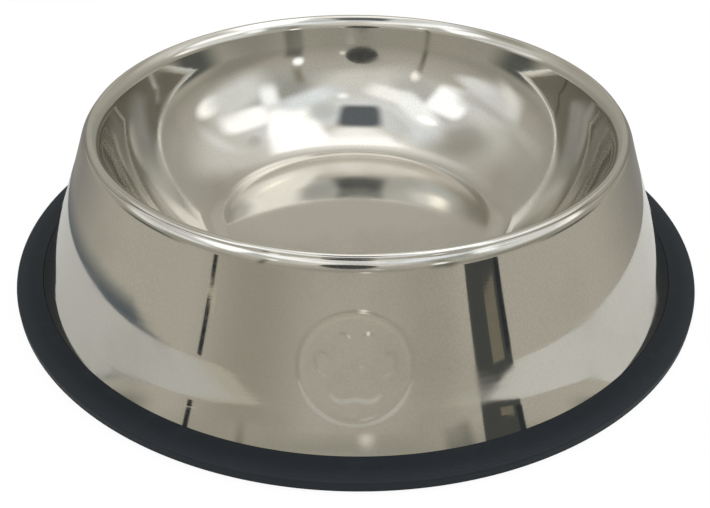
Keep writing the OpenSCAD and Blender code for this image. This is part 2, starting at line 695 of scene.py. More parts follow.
@dataclass
class BaseRing(Turned):
    """The moulded rubber ring that grips the skirt's foot."""

    name: str = "ring_moulded"
    node: str = "base_ring"
    slot: str = "ring_rubber"
    across: float = 254.0
    bore: float = 229.0
    edge_h: float = 3.8
    top_h: float = 4.3
    edge_r: float = 0.9
    gap: float = 0.1
    near_mouth: float = 1.0
    skirt: OuterSkirt = field(default_factory=OuterSkirt)
    fineness: float = 9.0

    def section(self, mesh: bmesh.types.BMesh) -> None:
        """Draw the ring's outline, with the groove that follows the skirt's foot.

        Args:
            mesh: the mesh that is drawn into.
        """
        half = self.across / 2
        line = self.skirt.face()
        bows = (stroke.first for stroke in line.strokes)
        bow = next(point for point in bows if point.up < self.top_h + self.near_mouth)
        mouth_out = bow.out + (bow.up - self.top_h) * math.tan(math.radians(-bow.tilt))
        mouth = FacePoint(mouth_out, self.top_h, bow.tilt)
        foot = line.strokes[-2]
        reach = line.end.out + self.gap
        pen = SectionPen(mesh, self.fineness)
        first = pen.start(Vector((self.bore / 2, 0.0, 0.0)))
        pen.line_to(Vector((half - self.edge_r, 0.0, 0.0)))
        pen.spin(Vector((half - self.edge_r, 0.0, self.edge_r)), -LEVEL)
        pen.line_to(Vector((half, 0.0, self.edge_h - self.edge_r)))
        pen.spin(Vector((half - self.edge_r, 0.0, self.edge_h - self.edge_r)), -LEVEL)
        pen.line_to(mouth.behind(self.gap))
        pen.line_to(foot.first.behind(self.gap))
        foot.draw(pen)
        pen.line_to(Vector((reach, 0.0, line.end.up + self.gap)))
        low = line.end.up - self.skirt.sheet - self.gap
        pen.line_to(Vector((reach, 0.0, low)))
        pen.line_to(Vector((self.bore / 2, 0.0, low)))
        bmesh.ops.contextual_create(mesh, geom=[first, pen.tip])


class Net:
    """A node tree, with the kinds of node that the finishes and the studio are made of."""

    def __init__(self, tree: bpy.types.NodeTree) -> None:
        """Take the tree that gets the nodes."""
        self.tree = tree

    def node(self, kind: str) -> bpy.types.Node:
        """Add a shader node of a kind."""
        return self.tree.nodes.new(f"ShaderNode{kind}")

    def feed(self, socket: Socket, value: Level | Colour | Vector) -> None:
        """Link an input, or set it.

        Args:
            socket: the input.
            value: a socket, a number, a colour or a vector.
        """
        if isinstance(value, Socket):
            self.tree.links.new(value, socket)
        elif socket.type == "RGBA":
            socket.default_value = (*value, 1.0)
        else:
            socket.default_value = value

    def surface(self) -> Socket:
        """Return the place on the surface."""
        return self.node("TexCoord").outputs["Object"]

    def rays(self) -> bpy.types.bpy_prop_collection:
        """Return what is known of the ray."""
        return self.node("LightPath").outputs

    def split(self, vector: Socket) -> list[Socket]:
        """Return a vector's three sides.

        Args:
            vector: the vector.

        Returns:
            Its X, Y and Z.
        """
        node = self.node("SeparateXYZ")
        self.feed(node.inputs[0], vector)
        return node.outputs[:]

    def math(self, kind: str, *values: Level) -> Socket:
        """Add a math node.

        Args:
            kind: the operation's name.
            values: its inputs.

        Returns:
            The result.
        """
        node = self.node("Math")
        node.operation = kind
        for socket, value in zip(node.inputs, values):
            self.feed(socket, value)
        return node.outputs[0]

    def plus(self, first: Level, second: Level) -> Socket:
        """Return the sum of two values."""
        return self.math("ADD", first, second)

    def times(self, first: Level, second: Level) -> Socket:
        """Return the product of two values."""
        return self.math("MULTIPLY", first, second)

    def distance(self, x: Socket, y: Socket) -> Socket:
        """Return the distance from the bowl's axis, of the two sides across it."""
        return self.math("SQRT", self.plus(self.times(x, x), self.times(y, y)))

    def dot(self, first: Socket, second: Socket) -> Socket:
        """Return the dot product of two vectors.

        Args:
            first: a vector.
            second: a vector.

        Returns:
            The product.
        """
        node = self.node("VectorMath")
        node.operation = "DOT_PRODUCT"
        self.feed(node.inputs[0], first)
        self.feed(node.inputs[1], second)
        return node.outputs["Value"]

    def mix(self, share: Level, first: Paint, second: Paint) -> Socket:
        """Mix two colours.

        Args:
            share: how much of the second shows.
            first: a colour.
            second: a colour.

        Returns:
            The mixed colour.
        """
        node = self.node("Mix")
        node.data_type = "RGBA"
        inputs = {socket.identifier: socket for socket in node.inputs}
        for key, value in (("Factor_Float", share), ("A_Color", first), ("B_Color", second)):
            self.feed(inputs[key], value)
        return next(s for s in node.outputs if s.identifier == "Result_Color")

    def smooth(self, value: Socket, low: float, high: float) -> Socket:
        """Add a smooth step.

        Args:
            value: the value that it reads.
            low: the value at which it starts from 0, which may be the greater of the two.
            high: the value at which it comes to 1.

        Returns:
            The step, from 0 to 1.
        """
        node = self.node("MapRange")
        node.interpolation_type = "SMOOTHSTEP"
        for key, given in (("Value", value), ("From Min", low), ("From Max", high)):
            self.feed(node.inputs[key], given)
        return node.outputs["Result"]

    def spread(self, value: Socket, low: float, high: float) -> Socket:
        """Spread a value from 0 to 1 between two others.

        Args:
            value: the value.
            low: what 0 becomes.
            high: what 1 becomes.

        Returns:
            The spread value.
        """
        node = self.node("MapRange")
        for key, given in (("Value", value), ("To Min", low), ("To Max", high)):
            self.feed(node.inputs[key], given)
        return node.outputs["Result"]

    def noise(
        self, vector: Socket, scale: Level, detail: float, w: Socket | None = None
    ) -> Socket:
        """Add a noise texture.

        Args:
            vector: where the noise is read.
            scale: the noise's scale.
            detail: how many finer layers it has.
            w: a fourth coordinate, where there is one.

        Returns:
            The noise, from 0 to 1.
        """
        node = self.node("TexNoise")
        node.noise_dimensions = "3D" if w is None else "4D"
        if w is not None:
            self.feed(node.inputs["W"], w)
        for key, given in (("Vector", vector), ("Scale", scale), ("Detail", detail)):
            self.feed(node.inputs[key], given)
        return node.outputs[0]

    def bump(self, height: Socket, depth: float, normal: Socket | None = None) -> Socket:
        """Add a bump node.

        Args:
            height: the relief, from 0 to 1.
            depth: the relief's full depth in millimetres.
            normal: the normal that it starts from, where there is one.

        Returns:
            The changed normal.
        """
        node = self.node("Bump")
        if normal is not None:
            self.feed(node.inputs["Normal"], normal)
        for key, given in (("Height", height), ("Strength", 1.0), ("Distance", depth * MM)):
            self.feed(node.inputs[key], given)
        return node.outputs[0]

    def ramp(self, height: Socket, stops: Stops) -> Socket:
        """Add a colour that changes from the horizon to straight up.

        Args:
            height: height above the horizon, as a share of a right angle.
            stops: heights in degrees, each with its colour.

        Returns:
            The colour.
        """
        node = self.node("ValToRGB")
        self.feed(node.inputs[0], height)
        marks = node.color_ramp.elements
        for up, _ in stops[1:-1]:
            marks.new(up / LEVEL)
        for mark, (_, colour) in zip(marks, stops):
            mark.color = (*colour, 1.0)
        return node.outputs[0]

    def sky(self, colour: Paint) -> Socket:
        """Add a background shader of a colour.

        Args:
            colour: the colour.

        Returns:
            The shader.
        """
        node = self.node("Background")
        self.feed(node.inputs["Color"], colour)
        return node.outputs[0]

    def blend(self, share: Socket, first: Socket, second: Socket) -> Socket:
        """Mix two shaders.

        Args:
            share: how much of the second shows.
            first: a shader.
            second: a shader.

        Returns:
            The mixed shader.
        """
        node = self.node("MixShader")
        for socket, value in zip(node.inputs, (share, first, second)):
            self.feed(socket, value)
        return node.outputs[0]


class SharedGroup(Net):
    """A node group that works out one effect wherever it is placed."""

    def __init__(
        self, name: str, vectors: tuple[str, ...], numbers: tuple[str, ...], result: str
    ) -> None:
        """Start the group.

        Args:
            name: the group's name.
            vectors: names of its vector inputs.
            numbers: names of its number inputs, which follow.
            result: name of its output.
        """
        super().__init__(bpy.data.node_groups.new(name, "ShaderNodeTree"))
        face = self.tree.interface
        for names, kind in ((vectors, "NodeSocketVector"), (numbers, "NodeSocketFloat")):
            for given in names:
                face.new_socket(given, in_out="INPUT", socket_type=kind)
        face.new_socket(result, in_out="OUTPUT", socket_type="NodeSocketFloat")
        self.given = self.tree.nodes.new("NodeGroupInput").outputs
        self.done = self.tree.nodes.new("NodeGroupOutput").inputs

    def finish(self, result: Socket) -> "SharedGroup":
        """Link the result to the output and return the group."""
        self.feed(self.done[0], result)
        return self

    def place(self, net: Net, *values: Level | Vector) -> Socket:
        """Place the group in a tree.

        Args:
            net: the nodes that it joins.
            values: its inputs.

        Returns:
            The effect.
        """
        node = net.node("Group")
        node.node_tree = self.tree
        for socket, value in zip(node.inputs, values):
            net.feed(socket, value)
        return node.outputs[0]


# How many finer layers the noises have, the width of a mark's soft edge, how much thinner than
# long a scuff is, and the noise from which a scuff fades in
FINE_DETAIL = 2.0
MARK_DETAIL = 4.0
SCUFF_DETAIL = 1.0
MARK_EDGE = 0.22
SCUFF_STRETCH = (1.0, 1.0, 22.0)
SCUFF_FROM_TO = (0.68, 0.78)


def polishing_lines() -> SharedGroup:
    """Build the group of fine lines that run round the axis, as a spinning polisher leaves.

    Returns:
        The group.
    """
    group = SharedGroup("polishing_lines", ("Place",), ("Fineness", "Breaks"), "Lines")
    fineness, breaks = group.given["Fineness"], group.given["Breaks"]
    x, y, z = group.split(group.given["Place"])
    out = group.math("MAXIMUM", group.distance(x, y), MM)
    joined = group.node("CombineXYZ")
    for socket, side in zip(joined.inputs, (x, y)):
        group.feed(socket, group.times(group.math("DIVIDE", side, out), breaks))
    group.feed(joined.inputs[2], group.times(z, fineness))
    width = group.times(out, fineness)
    return group.finish(group.noise(joined.outputs[0], 1.0, FINE_DETAIL, width))


def soft_marks() -> SharedGroup:
    """Build the group of blotches with soft edges, as handling and wiping leave.

    Returns:
        The group.
    """
    group = SharedGroup("soft_marks", ("Place",), ("Fineness", "Sparseness"), "Marks")
    given = group.given
    cloud = group.noise(given["Place"], given["Fineness"], MARK_DETAIL)
    lifted = group.math("SUBTRACT", cloud, given["Sparseness"])
    return group.finish(group.smooth(lifted, 0.0, MARK_EDGE))


def fine_grain() -> SharedGroup:
    """Return the group of fine even grain."""
    group = SharedGroup("fine_grain", ("Place",), ("Fineness",), "Grain")
    return group.finish(group.noise(group.given["Place"], group.given["Fineness"], FINE_DETAIL))


def straight_scuffs() -> SharedGroup:
    """Build the group of thin straight scuffs that cross the polishing lines.

    Returns:
        The group.
    """
    group = SharedGroup("straight_scuffs", ("Place",), ("Fineness", "Lean"), "Scuffs")
    given = group.given
    turned = group.node("VectorRotate")
    turned.rotation_type = "Y_AXIS"
    group.feed(turned.inputs["Vector"], given["Place"])
    group.feed(turned.inputs["Angle"], given["Lean"])
    drawn = group.node("Mapping")
    drawn.inputs["Scale"].default_value = SCUFF_STRETCH
    group.feed(drawn.inputs["Vector"], turned.outputs[0])
    streak = group.noise(drawn.outputs[0], given["Fineness"], SCUFF_DETAIL)
    return group.finish(group.smooth(streak, *SCUFF_FROM_TO))


@dataclass(frozen=True)
class Effects:
    """The effects that the finishes share."""

    lines: SharedGroup = field(default_factory=polishing_lines)
    marks: SharedGroup = field(default_factory=soft_marks)
    grain: SharedGroup = field(default_factory=fine_grain)
    scuffs: SharedGroup = field(default_factory=straight_scuffs)


def new_material(name: str) -> tuple[bpy.types.Material, Net, bpy.types.Node]:
    """Make a material.

    Args:
        name: its name.

    Returns:
        The material, its nodes and its shader.
    """
    made = bpy.data.materials.new(name)
    made.use_nodes = True
    return made, Net(made.node_tree), made.node_tree.nodes["Principled BSDF"]


@dataclass(frozen=True)
class SteelFinish:
    """Bright drawn stainless sheet, wavy and lined by polishing, with a satin floor if it has one.

    Marks, clouds, lines and scuffs each hold the values of that effect, in its inputs' order.
    Many turns is how often a ray has turned in steel before a painted glow on the steel makes up
    its light.
    """

    name: str = "bright_steel"
    colour: Colour = (0.63, 0.61, 0.555)
    dull_colour: Colour = (0.55, 0.53, 0.475)
    marks: tuple[float, float] = (34.0, 0.46)
    clouds: tuple[float, float] = (11.0, 0.42)
    specks_per_metre: float = 1500.0
    speck_edge: tuple[float, float] = (0.36, 0.64)
    least_specks: float = 0.5
    mottling: float = 0.5
    roughness: float = 0.045
    marked_roughness: float = 0.11
    lines: tuple[float, float] = (900.0, 1.6)
    line_roughness: float = 0.03
    line_depth: float = 0.0012
    satin_roughness: float = 0.03
    satin_out: float = 0.0
    satin_fade: float = 7.0
    many_turns: float = 3.5
    deep_painted_glow: Colour = (0.13, 0.13, 0.115)
    wave_depth: float = 0.03
    waves_per_metre: float = 22.0
    scuffs: tuple[float, float] = (90.0, 0.6)
    scuff_depth: float = 0.0

    def satin(self, net: Net, where: Socket) -> Socket:
        """Return the roughness that the satin floor adds.

        Args:
            net: the material's nodes.
            where: the place on the surface.

        Returns:
            The roughness, which fades out at the floor's edge.
        """
        x, y, _ = net.split(where)
        edge = self.satin_out - self.satin_fade
        wall = net.smooth(net.distance(x, y), edge * MM, self.satin_out * MM)
        return net.spread(wall, self.satin_roughness, 0.0)

    def paint_deep_glow(self, net: Net, shader: bpy.types.Node) -> None:
        """Paint a faint glow on steel that is seen in steel many times over, for the light that
        such paths still have.

        Args:
            net: the material's nodes.
            shader: the material's shader.
        """
        # Painted light: the steel glows faintly for rays that have turned many times in it
        deep = net.math("GREATER_THAN", net.rays()["Glossy Depth"], self.many_turns)
        net.feed(shader.inputs["Emission Color"], net.mix(deep, BLACK, self.deep_painted_glow))
        shader.inputs["Emission Strength"].default_value = 1.0

    def material(self, effects: Effects) -> bpy.types.Material:
        """Build the finish as a material.

        Args:
            effects: the shared effects.

        Returns:
            The material.
        """
        made, net, shader = new_material(self.name)
        shader.inputs["Metallic"].default_value = 1.0
        where = net.surface()
        marks = effects.marks.place(net, where, *self.marks)
        clouds = effects.marks.place(net, where, *self.clouds)
        grain = effects.grain.place(net, where, self.specks_per_metre)
        lines = effects.lines.place(net, where, *self.lines)
        waves = effects.grain.place(net, where, self.waves_per_metre)
        specks = net.smooth(grain, *self.speck_edge)
        mottled = net.times(specks, net.spread(clouds, self.least_specks, 1.0))
        share = net.times(net.plus(mottled, marks), self.mottling)
        net.feed(shader.inputs["Base Color"], net.mix(share, self.colour, self.dull_colour))
        rough = net.spread(marks, self.roughness, self.marked_roughness)
        rough = net.plus(rough, net.spread(lines, -self.line_roughness, self.line_roughness))
        if self.satin_out > 0.0:
            rough = net.plus(rough, self.satin(net, where))
            self.paint_deep_glow(net, shader)
        net.feed(shader.inputs["Roughness"], rough)
        normal = net.bump(waves, self.wave_depth)
        normal = net.bump(lines, self.line_depth, normal)
        if self.scuff_depth > 0.0:
            scuffs = effects.scuffs.place(net, where, *self.scuffs)
            normal = net.bump(scuffs, self.scuff_depth, normal)
        net.feed(shader.inputs["Normal"], normal)
        return made


@dataclass(frozen=True)
class RubberFinish:
    """Matt black rubber with a blue cast, a little paler near its outer edge, as a painted sheen
    of the light on the rounded edge.

    Dust holds the values of the marks effect, in its inputs' order. The beads are fine raised
    rings, each at a distance from the axis.
    """

    name: str = "black_rubber"
    colour: Colour = (0.0085, 0.0130, 0.0185)
    edge_sheen_colour: Colour = (0.019, 0.025, 0.032)
    dust_colour: Colour = (0.030, 0.034, 0.038)
    dust: tuple[float, float] = (160.0, 0.55)
    dustiness: float = 0.25
    gloss: float = 0.22
    roughness: float = 0.42
    worn_roughness: float = 0.6
    sheen_from: float = 120.5
    sheen_to: float = 126.6
    bead_at: tuple[float, float] = (124.2, 125.3)
    bead_half: float = 0.22
    bead_depth: float = 0.06
    grains_per_metre: float = 1400.0
    grain_depth: float = 0.012

    def material(self, effects: Effects) -> bpy.types.Material:
        """Build the finish as a material.

        Args:
            effects: the shared effects.

        Returns:
            The material.
        """
        made, net, shader = new_material(self.name)
        shader.inputs["Specular IOR Level"].default_value = self.gloss
        where = net.surface()
        x, y, _ = net.split(where)
        out = net.distance(x, y)
        grain = effects.grain.place(net, where, self.grains_per_metre)
        dust = effects.marks.place(net, where, *self.dust)
        # Painted sheen: paler towards the outer edge, where the rounded edge catches the light
        painted_sheen = net.smooth(out, self.sheen_from * MM, self.sheen_to * MM)
        colour = net.mix(painted_sheen, self.colour, self.edge_sheen_colour)
        colour = net.mix(net.times(dust, self.dustiness), colour, self.dust_colour)
        net.feed(shader.inputs["Base Color"], colour)
        rough = net.spread(grain, self.roughness, self.worn_roughness)
        net.feed(shader.inputs["Roughness"], rough)
        beads = []
        for middle in self.bead_at:
            off = net.math("ABSOLUTE", net.math("SUBTRACT", out, middle * MM))
            beads.append(net.smooth(off, self.bead_half * MM, 0.0))
        normal = net.bump(net.plus(*beads), self.bead_depth)
        normal = net.bump(grain, self.grain_depth, normal)
        net.feed(shader.inputs["Normal"], normal)
        return made


@dataclass
class PhotoCamera:
    """The camera at the photograph's viewing angle, which looks along +Y and down."""

    image_w: float = 710.0
    focal_px: float = 881.76
    nearest: float = 10.0
    sensor: float = 36.0
    distance: float = 352.5
    height_angle: float = 34.756
    roll: float = 0.464
    target: tuple[float, float, float] = (-0.39, 0.0, -7.7)

    def axes(self) -> tuple[Vector, Vector, Vector]:
        """Return the camera's own directions.

        Returns:
            Its right, up and back.
        """
        rise, roll = math.radians(self.height_angle), math.radians(self.roll)
        back = Vector((0.0, -math.cos(rise), math.sin(rise)))
        right = Vector((1.0, 0.0, 0.0))
        up = back.cross(right)
        turned = math.cos(roll) * right + math.sin(roll) * up
        return turned, math.cos(roll) * up - math.sin(roll) * right, back

    def place(self) -> Vector:
        """Return the lens's place in metres."""
        return (Vector(self.target) + self.axes()[2] * self.distance) * MM

    def build(self) -> bpy.types.Object:
        """Add the camera to the scene.

        Returns:
            The camera.
        """
        data = bpy.data.cameras.new("photo_camera")
        data.sensor_width = self.sensor
        data.lens = self.sensor * self.focal_px / self.image_w
        data.clip_start = self.nearest * MM
        camera = bpy.data.objects.new("photo_camera", data)
        bpy.context.collection.objects.link(camera)
        columns = Matrix([*self.axes()]).transposed().to_4x4()
        camera.matrix_world = Matrix.Translation(self.place()) @ columns
        bpy.context.scene.camera = camera
        return camera


# The softest step that a hard edge still has, in degrees, the least share of the view's depth at
# which a shape still shows, and how far an edge reaches to each side
LEAST_SOFT = 0.2
BESIDE = 0.05
HALF_EDGE = 0.5


def room_shape() -> SharedGroup:
    """Build the group that gives the mask of one room shape from a direction.

    Returns:
        The group.
    """
    vectors = ("Direction", "Facing", "Across", "Upwards")
    numbers = ("Half width", "Half height", "Squareness", "Steepness")
    group = SharedGroup("room_shape", vectors, numbers, "Mask")
    given = group.given
    depth = group.dot(given["Direction"], given["Facing"])
    near = group.math("MAXIMUM", depth, BESIDE)
    reach = []
    for axis, half in (("Across", "Half width"), ("Upwards", "Half height")):
        along = group.math("DIVIDE", group.dot(given["Direction"], given[axis]), near)
        share = group.math("DIVIDE", group.math("ABSOLUTE", along), given[half])
        reach.append(group.math("POWER", share, given["Squareness"]))
    root = group.math("DIVIDE", 1.0, given["Squareness"])
    out = group.math("SUBTRACT", group.math("POWER", group.plus(*reach), root), 1.0)
    fall = group.times(out, given["Steepness"])
    ahead = group.math("GREATER_THAN", depth, BESIDE)
    return group.finish(group.times(group.smooth(fall, HALF_EDGE, -HALF_EDGE), ahead))


@dataclass(frozen=True)
class RoomShape:
    """A soft-edged lamp, screen or stand in the room, placed by its direction from the bowl.

    Angles are in degrees. Around is 0 towards the camera and grows to its right.
    """

    name: str
    around: float
    up: float
    half_w: float
    half_h: float
    turn: float
    soft: float
    colour: Colour
    squareness: float = 4.0

    def axes(self) -> tuple[Vector, Vector, Vector]:
        """Return the shape's own directions.

        Returns:
            The directions to it, along its width and along its height.
        """
        around, up, turn = (math.radians(a) for a in (self.around, self.up, self.turn))
        facing = Vector(
            (math.sin(around) * math.cos(up), -math.cos(around) * math.cos(up), math.sin(up))
        )
        side = Vector((math.cos(around), math.sin(around), 0.0))
        high = facing.cross(side)
        if high.z < 0.0:
            high = -high
        return (
            facing,
            math.cos(turn) * side + math.sin(turn) * high,
            math.cos(turn) * high - math.sin(turn) * side,
        )

    def halves(self) -> tuple[float, float, float]:
        """Return the shape's measures on a flat view.

        Returns:
            Half its width, half its height and its edge's steepness.
        """
        wide, tall = (math.tan(math.radians(a)) for a in (self.half_w, self.half_h))
        edge = math.tan(math.radians(self.soft + LEAST_SOFT))
        return wide, tall, min(wide, tall) / (2 * edge)

    def mask(self, net: Net, group: SharedGroup, direction: Socket) -> Socket:
        """Place the group of room shapes for this one.

        Args:
            net: the world's nodes.
            group: the group.
            direction: the direction that is looked in.

        Returns:
            The shape's mask, from 0 to 1.
        """
        wide, tall, steep = self.halves()
        return group.place(net, direction, *self.axes(), wide, tall, self.squareness, steep)


# The room's light at heights in degrees, towards the camera and away from it
ROOM_FRONT = (
    (0.0, (0.57, 0.55, 0.485)),
    (8.0, (0.55, 0.53, 0.465)),
    (12.0, (0.42, 0.41, 0.36)),
    (20.0, (0.55, 0.53, 0.48)),
    (30.0, (0.64, 0.63, 0.58)),
    (40.0, (0.95, 0.96, 0.94)),
    (50.0, (0.91, 0.91, 0.91)),
    (60.0, (1.06, 1.10, 1.14)),
    (70.0, (1.10, 1.17, 1.25)),
    (78.0, (0.96, 0.96, 0.94)),
    (83.0, (1.40, 1.41, 1.42)),
    (90.0, (1.55, 1.55, 1.55)),
)
ROOM_BACK = (
    (0.0, (0.30, 0.29, 0.27)),
    (3.0, (0.40, 0.39, 0.35)),
    (10.0, (0.43, 0.43, 0.38)),
    (20.0, (0.53, 0.52, 0.47)),
    (30.0, (0.52, 0.51, 0.46)),
    (40.0, (0.49, 0.47, 0.42)),
    (50.0, (0.64, 0.63, 0.58)),
    (60.0, (0.92, 0.91, 0.89)),
    (70.0, (1.27, 1.25, 1.22)),
    (80.0, (1.81, 1.81, 1.84)),
    (90.0, (1.40, 1.40, 1.40)),
)
ROOM_SHAPES = (
    RoomShape("ceiling haze left", 50.9, 38.5, 20.6, 11.3, -20.0, 7.8, (0.50, 0.51, 0.49), 4),
    RoomShape("ceiling haze right", -48.7, 46.5, 21.1, 8.5, -29.5, 3.8, (0.71, 0.72, 0.71), 4),
    RoomShape("left big white", 84.3, 69.3, 20.6, 9.7, 30.6, 2.2, (1.94, 1.98, 2.05), 6),
    RoomShape("strip under", -172.5, 82.1, 9.8, 8.1, -1.8, 2.5, (1.68, 1.70, 1.75), 6),
    RoomShape("left quad", 83.8, 45.8, 12.0, 7.0, -30.3, 2.2, (1.73, 1.75, 1.80), 4),
    RoomShape("left oval", 90.6, 26.2, 7.9, 4.7, -4.7, 2.2, (1.90, 1.89, 1.89), 2),
    RoomShape("left pale", 73.6, 30.8, 16.7, 9.3, -0.2, 5.3, (1.01, 1.04, 1.06), 4),
    RoomShape("small patch", 58.0, 41.1, 7.6, 4.0, 68.3, 2.4, (1.52, 1.58, 1.65), 3),
    RoomShape("arc left", 35.2, 51.5, 13.1, 5.3, 12.8, 3.5, (1.20, 1.29, 1.40), 4),
    RoomShape("arc right a", -21.1, 50.0, 9.3, 4.8, -16.5, 2.5, (1.47, 1.48, 1.50), 4),
    RoomShape("arc right b", -48.5, 56.3, 13.0, 5.3, -29.8, 2.4, (1.52, 1.57, 1.65), 4),
    RoomShape("softbox right", -62.6, 42.3, 10.6, 9.4, -81.6, 2.2, (1.70, 1.76, 1.85), 5),
    RoomShape("right pale", -82.1, 28.2, 15.7, 11.0, 12.4, 3.5, (0.94, 0.96, 0.99), 4),
    RoomShape("right bright a", -67.4, 24.3, 9.5, 3.7, 2.6, 2.0, (1.07, 1.09, 1.12), 2),
    RoomShape("right bright b", -89.0, 19.4, 8.9, 2.7, -31.9, 3.4, (1.15, 1.14, 1.12), 2),
    RoomShape("right streak", -90.2, 32.1, 22.1, 2.3, 9.3, 2.9, (0.72, 0.72, 0.69), 4),
    RoomShape("right dark patch", -99.0, 53.3, 7.7, 7.5, -6.7, 3.3, (0.66, 0.68, 0.69), 3),
    RoomShape("left dark patch", 105.5, 55.9, 4.3, 2.7, 2.0, 1.6, (0.59, 0.59, 0.58), 2),
    RoomShape("under right grey", -41.8, 71.4, 11.2, 4.8, -32.7, 0.8, (0.96, 0.99, 1.03), 3),
    RoomShape("upper left grey", 32.4, 64.1, 7.2, 6.1, 49.0, 3.3, (0.84, 0.88, 0.92), 2),
    RoomShape("left beige", 122.1, 46.8, 13.9, 10.3, -88.2, 8.9, (0.88, 0.87, 0.84), 4),
    RoomShape("left small pale", 111.2, 41.8, 7.8, 2.2, 69.3, 3.4, (1.08, 1.10, 1.12), 2),
    RoomShape("cream halo", -4.3, 37.5, 13.7, 3.9, 14.0, 5.8, (0.96, 0.94, 0.91), 3),
    RoomShape("left lamp", -33.9, 32.6, 1.8, 3.0, 6.4, 1.6, (1.85, 1.80, 1.73), 2),
    RoomShape("left stem", -35.1, 15.5, 0.8, 9.1, -0.5, 1.5, (0.10, 0.10, 0.06), 4),
    RoomShape("right lamp", 31.9, 21.9, 2.5, 3.1, -22.7, 1.1, (1.69, 1.73, 1.81), 2),
    RoomShape("right stand", 32.3, 11.9, 4.3, 6.3, -14.7, 1.8, (0.19, 0.19, 0.17), 6),
    RoomShape("right stem", 34.3, 32.7, 2.0, 5.4, -2.5, 1.8, (0.34, 0.32, 0.25), 4),
    RoomShape("top dot", 10.7, 53.3, 2.1, 1.9, 10.9, 1.8, (1.55, 1.62, 1.69), 2),
    RoomShape("camera dot", 7.9, 19.0, 0.9, 0.9, 20.1, 1.4, (1.47, 1.44, 1.41), 2),
    RoomShape("overhead", -3.0, 70.9, 8.1, 9.3, 1.0, 2.0, (0.16, 0.18, 0.205), 6),
    RoomShape("right low dark", 61.0, 11.5, 18.8, 4.1, -0.7, 2.4, (0.36, 0.35, 0.31), 4),
    RoomShape("left low dark", -76.3, 10.0, 25.3, 3.0, 1.5, 3.2, (0.42, 0.41, 0.37), 4),
    RoomShape("far lamp", 174.0, 46.4, 3.0, 5.0, 25.0, 2.5, (1.40, 1.37, 1.34), 2),
    RoomShape("far dark", 180.0, 33.0, 10.4, 3.5, -7.0, 1.0, (0.59, 0.57, 0.52), 3),
    RoomShape("far grey", -109.0, 56.0, 13.4, 9.2, -45.9, 8.0, (0.48, 0.47, 0.42), 3),
    RoomShape("low shade left", -35.0, 2.0, 14.0, 8.0, 0.0, 7.0, (0.42, 0.40, 0.34), 3),
    RoomShape("low shade right", 26.0, 2.0, 8.0, 8.0, 0.0, 6.0, (0.49, 0.47, 0.41), 3),
    RoomShape("low wall left", 87.0, 4.6, 13.0, 2.6, 0.0, 1.6, (0.12, 0.13, 0.12), 4),
    RoomShape("low wall right", -83.0, 4.6, 13.0, 2.6, 0.0, 1.6, (0.12, 0.13, 0.12), 4),
    RoomShape("left hot core", 107.5, 70.0, 1.7, 3.8, -27.0, 1.6, (2.90, 2.86, 2.76), 2),
    RoomShape("right hot core", -66.0, 60.4, 3.2, 1.6, 8.0, 1.5, (2.75, 2.75, 2.72), 2),
    RoomShape("low streak", 3.6, 10.0, 1.6, 1.2, 0.0, 1.2, (1.25, 1.23, 1.17), 2),
)


@dataclass(frozen=True)
class Stand:
    """An upright panel that stands low in the room, at a distance from the bowl.

    Around and half the width are angles, as for a room shape. Away, foot and top are lengths.
    """

    name: str
    around: float
    away: float
    half_w: float
    foot: float
    top: float
    colour: Colour

    def mesh(self) -> bmesh.types.BMesh:
        """Build the panel in its place.

        Returns:
            Its mesh, in metres.
        """
        mesh = bmesh.new()
        bmesh.ops.create_cube(mesh, size=1.0)
        high = self.top - self.foot
        wide = 2 * self.away * math.tan(math.radians(self.half_w))
        bmesh.ops.scale(mesh, vec=(wide, 1.0, high), verts=mesh.verts[:])
        middle = Vector((0.0, -self.away, self.foot + high / 2))
        bmesh.ops.translate(mesh, vec=middle, verts=mesh.verts[:])
        turn = Matrix.Rotation(math.radians(self.around), 3, Z_AXIS)
        bmesh.ops.rotate(mesh, cent=(0.0, 0.0, 0.0), matrix=turn, verts=mesh.verts[:])
        bmesh.ops.scale(mesh, vec=(MM, MM, MM), verts=mesh.verts[:])
        return mesh


STANDS = (
    Stand("wide stand", 42.2, 650.0, 6.0, 2.0, 112.0, (0.11, 0.12, 0.125)),
    Stand("wide stand leg", 47.4, 640.0, 0.9, 26.0, 112.0, (0.035, 0.045, 0.06)),
    Stand("wide stand inside", 43.6, 630.0, 1.9, 24.0, 56.0, (0.34, 0.32, 0.26)),
    Stand("thin stand", -47.8, 650.0, 0.75, 18.0, 105.0, (0.03, 0.035, 0.045)),
    Stand("thin stand knob", -47.2, 640.0, 1.7, 43.0, 48.0, (0.95, 0.90, 0.80)),
)


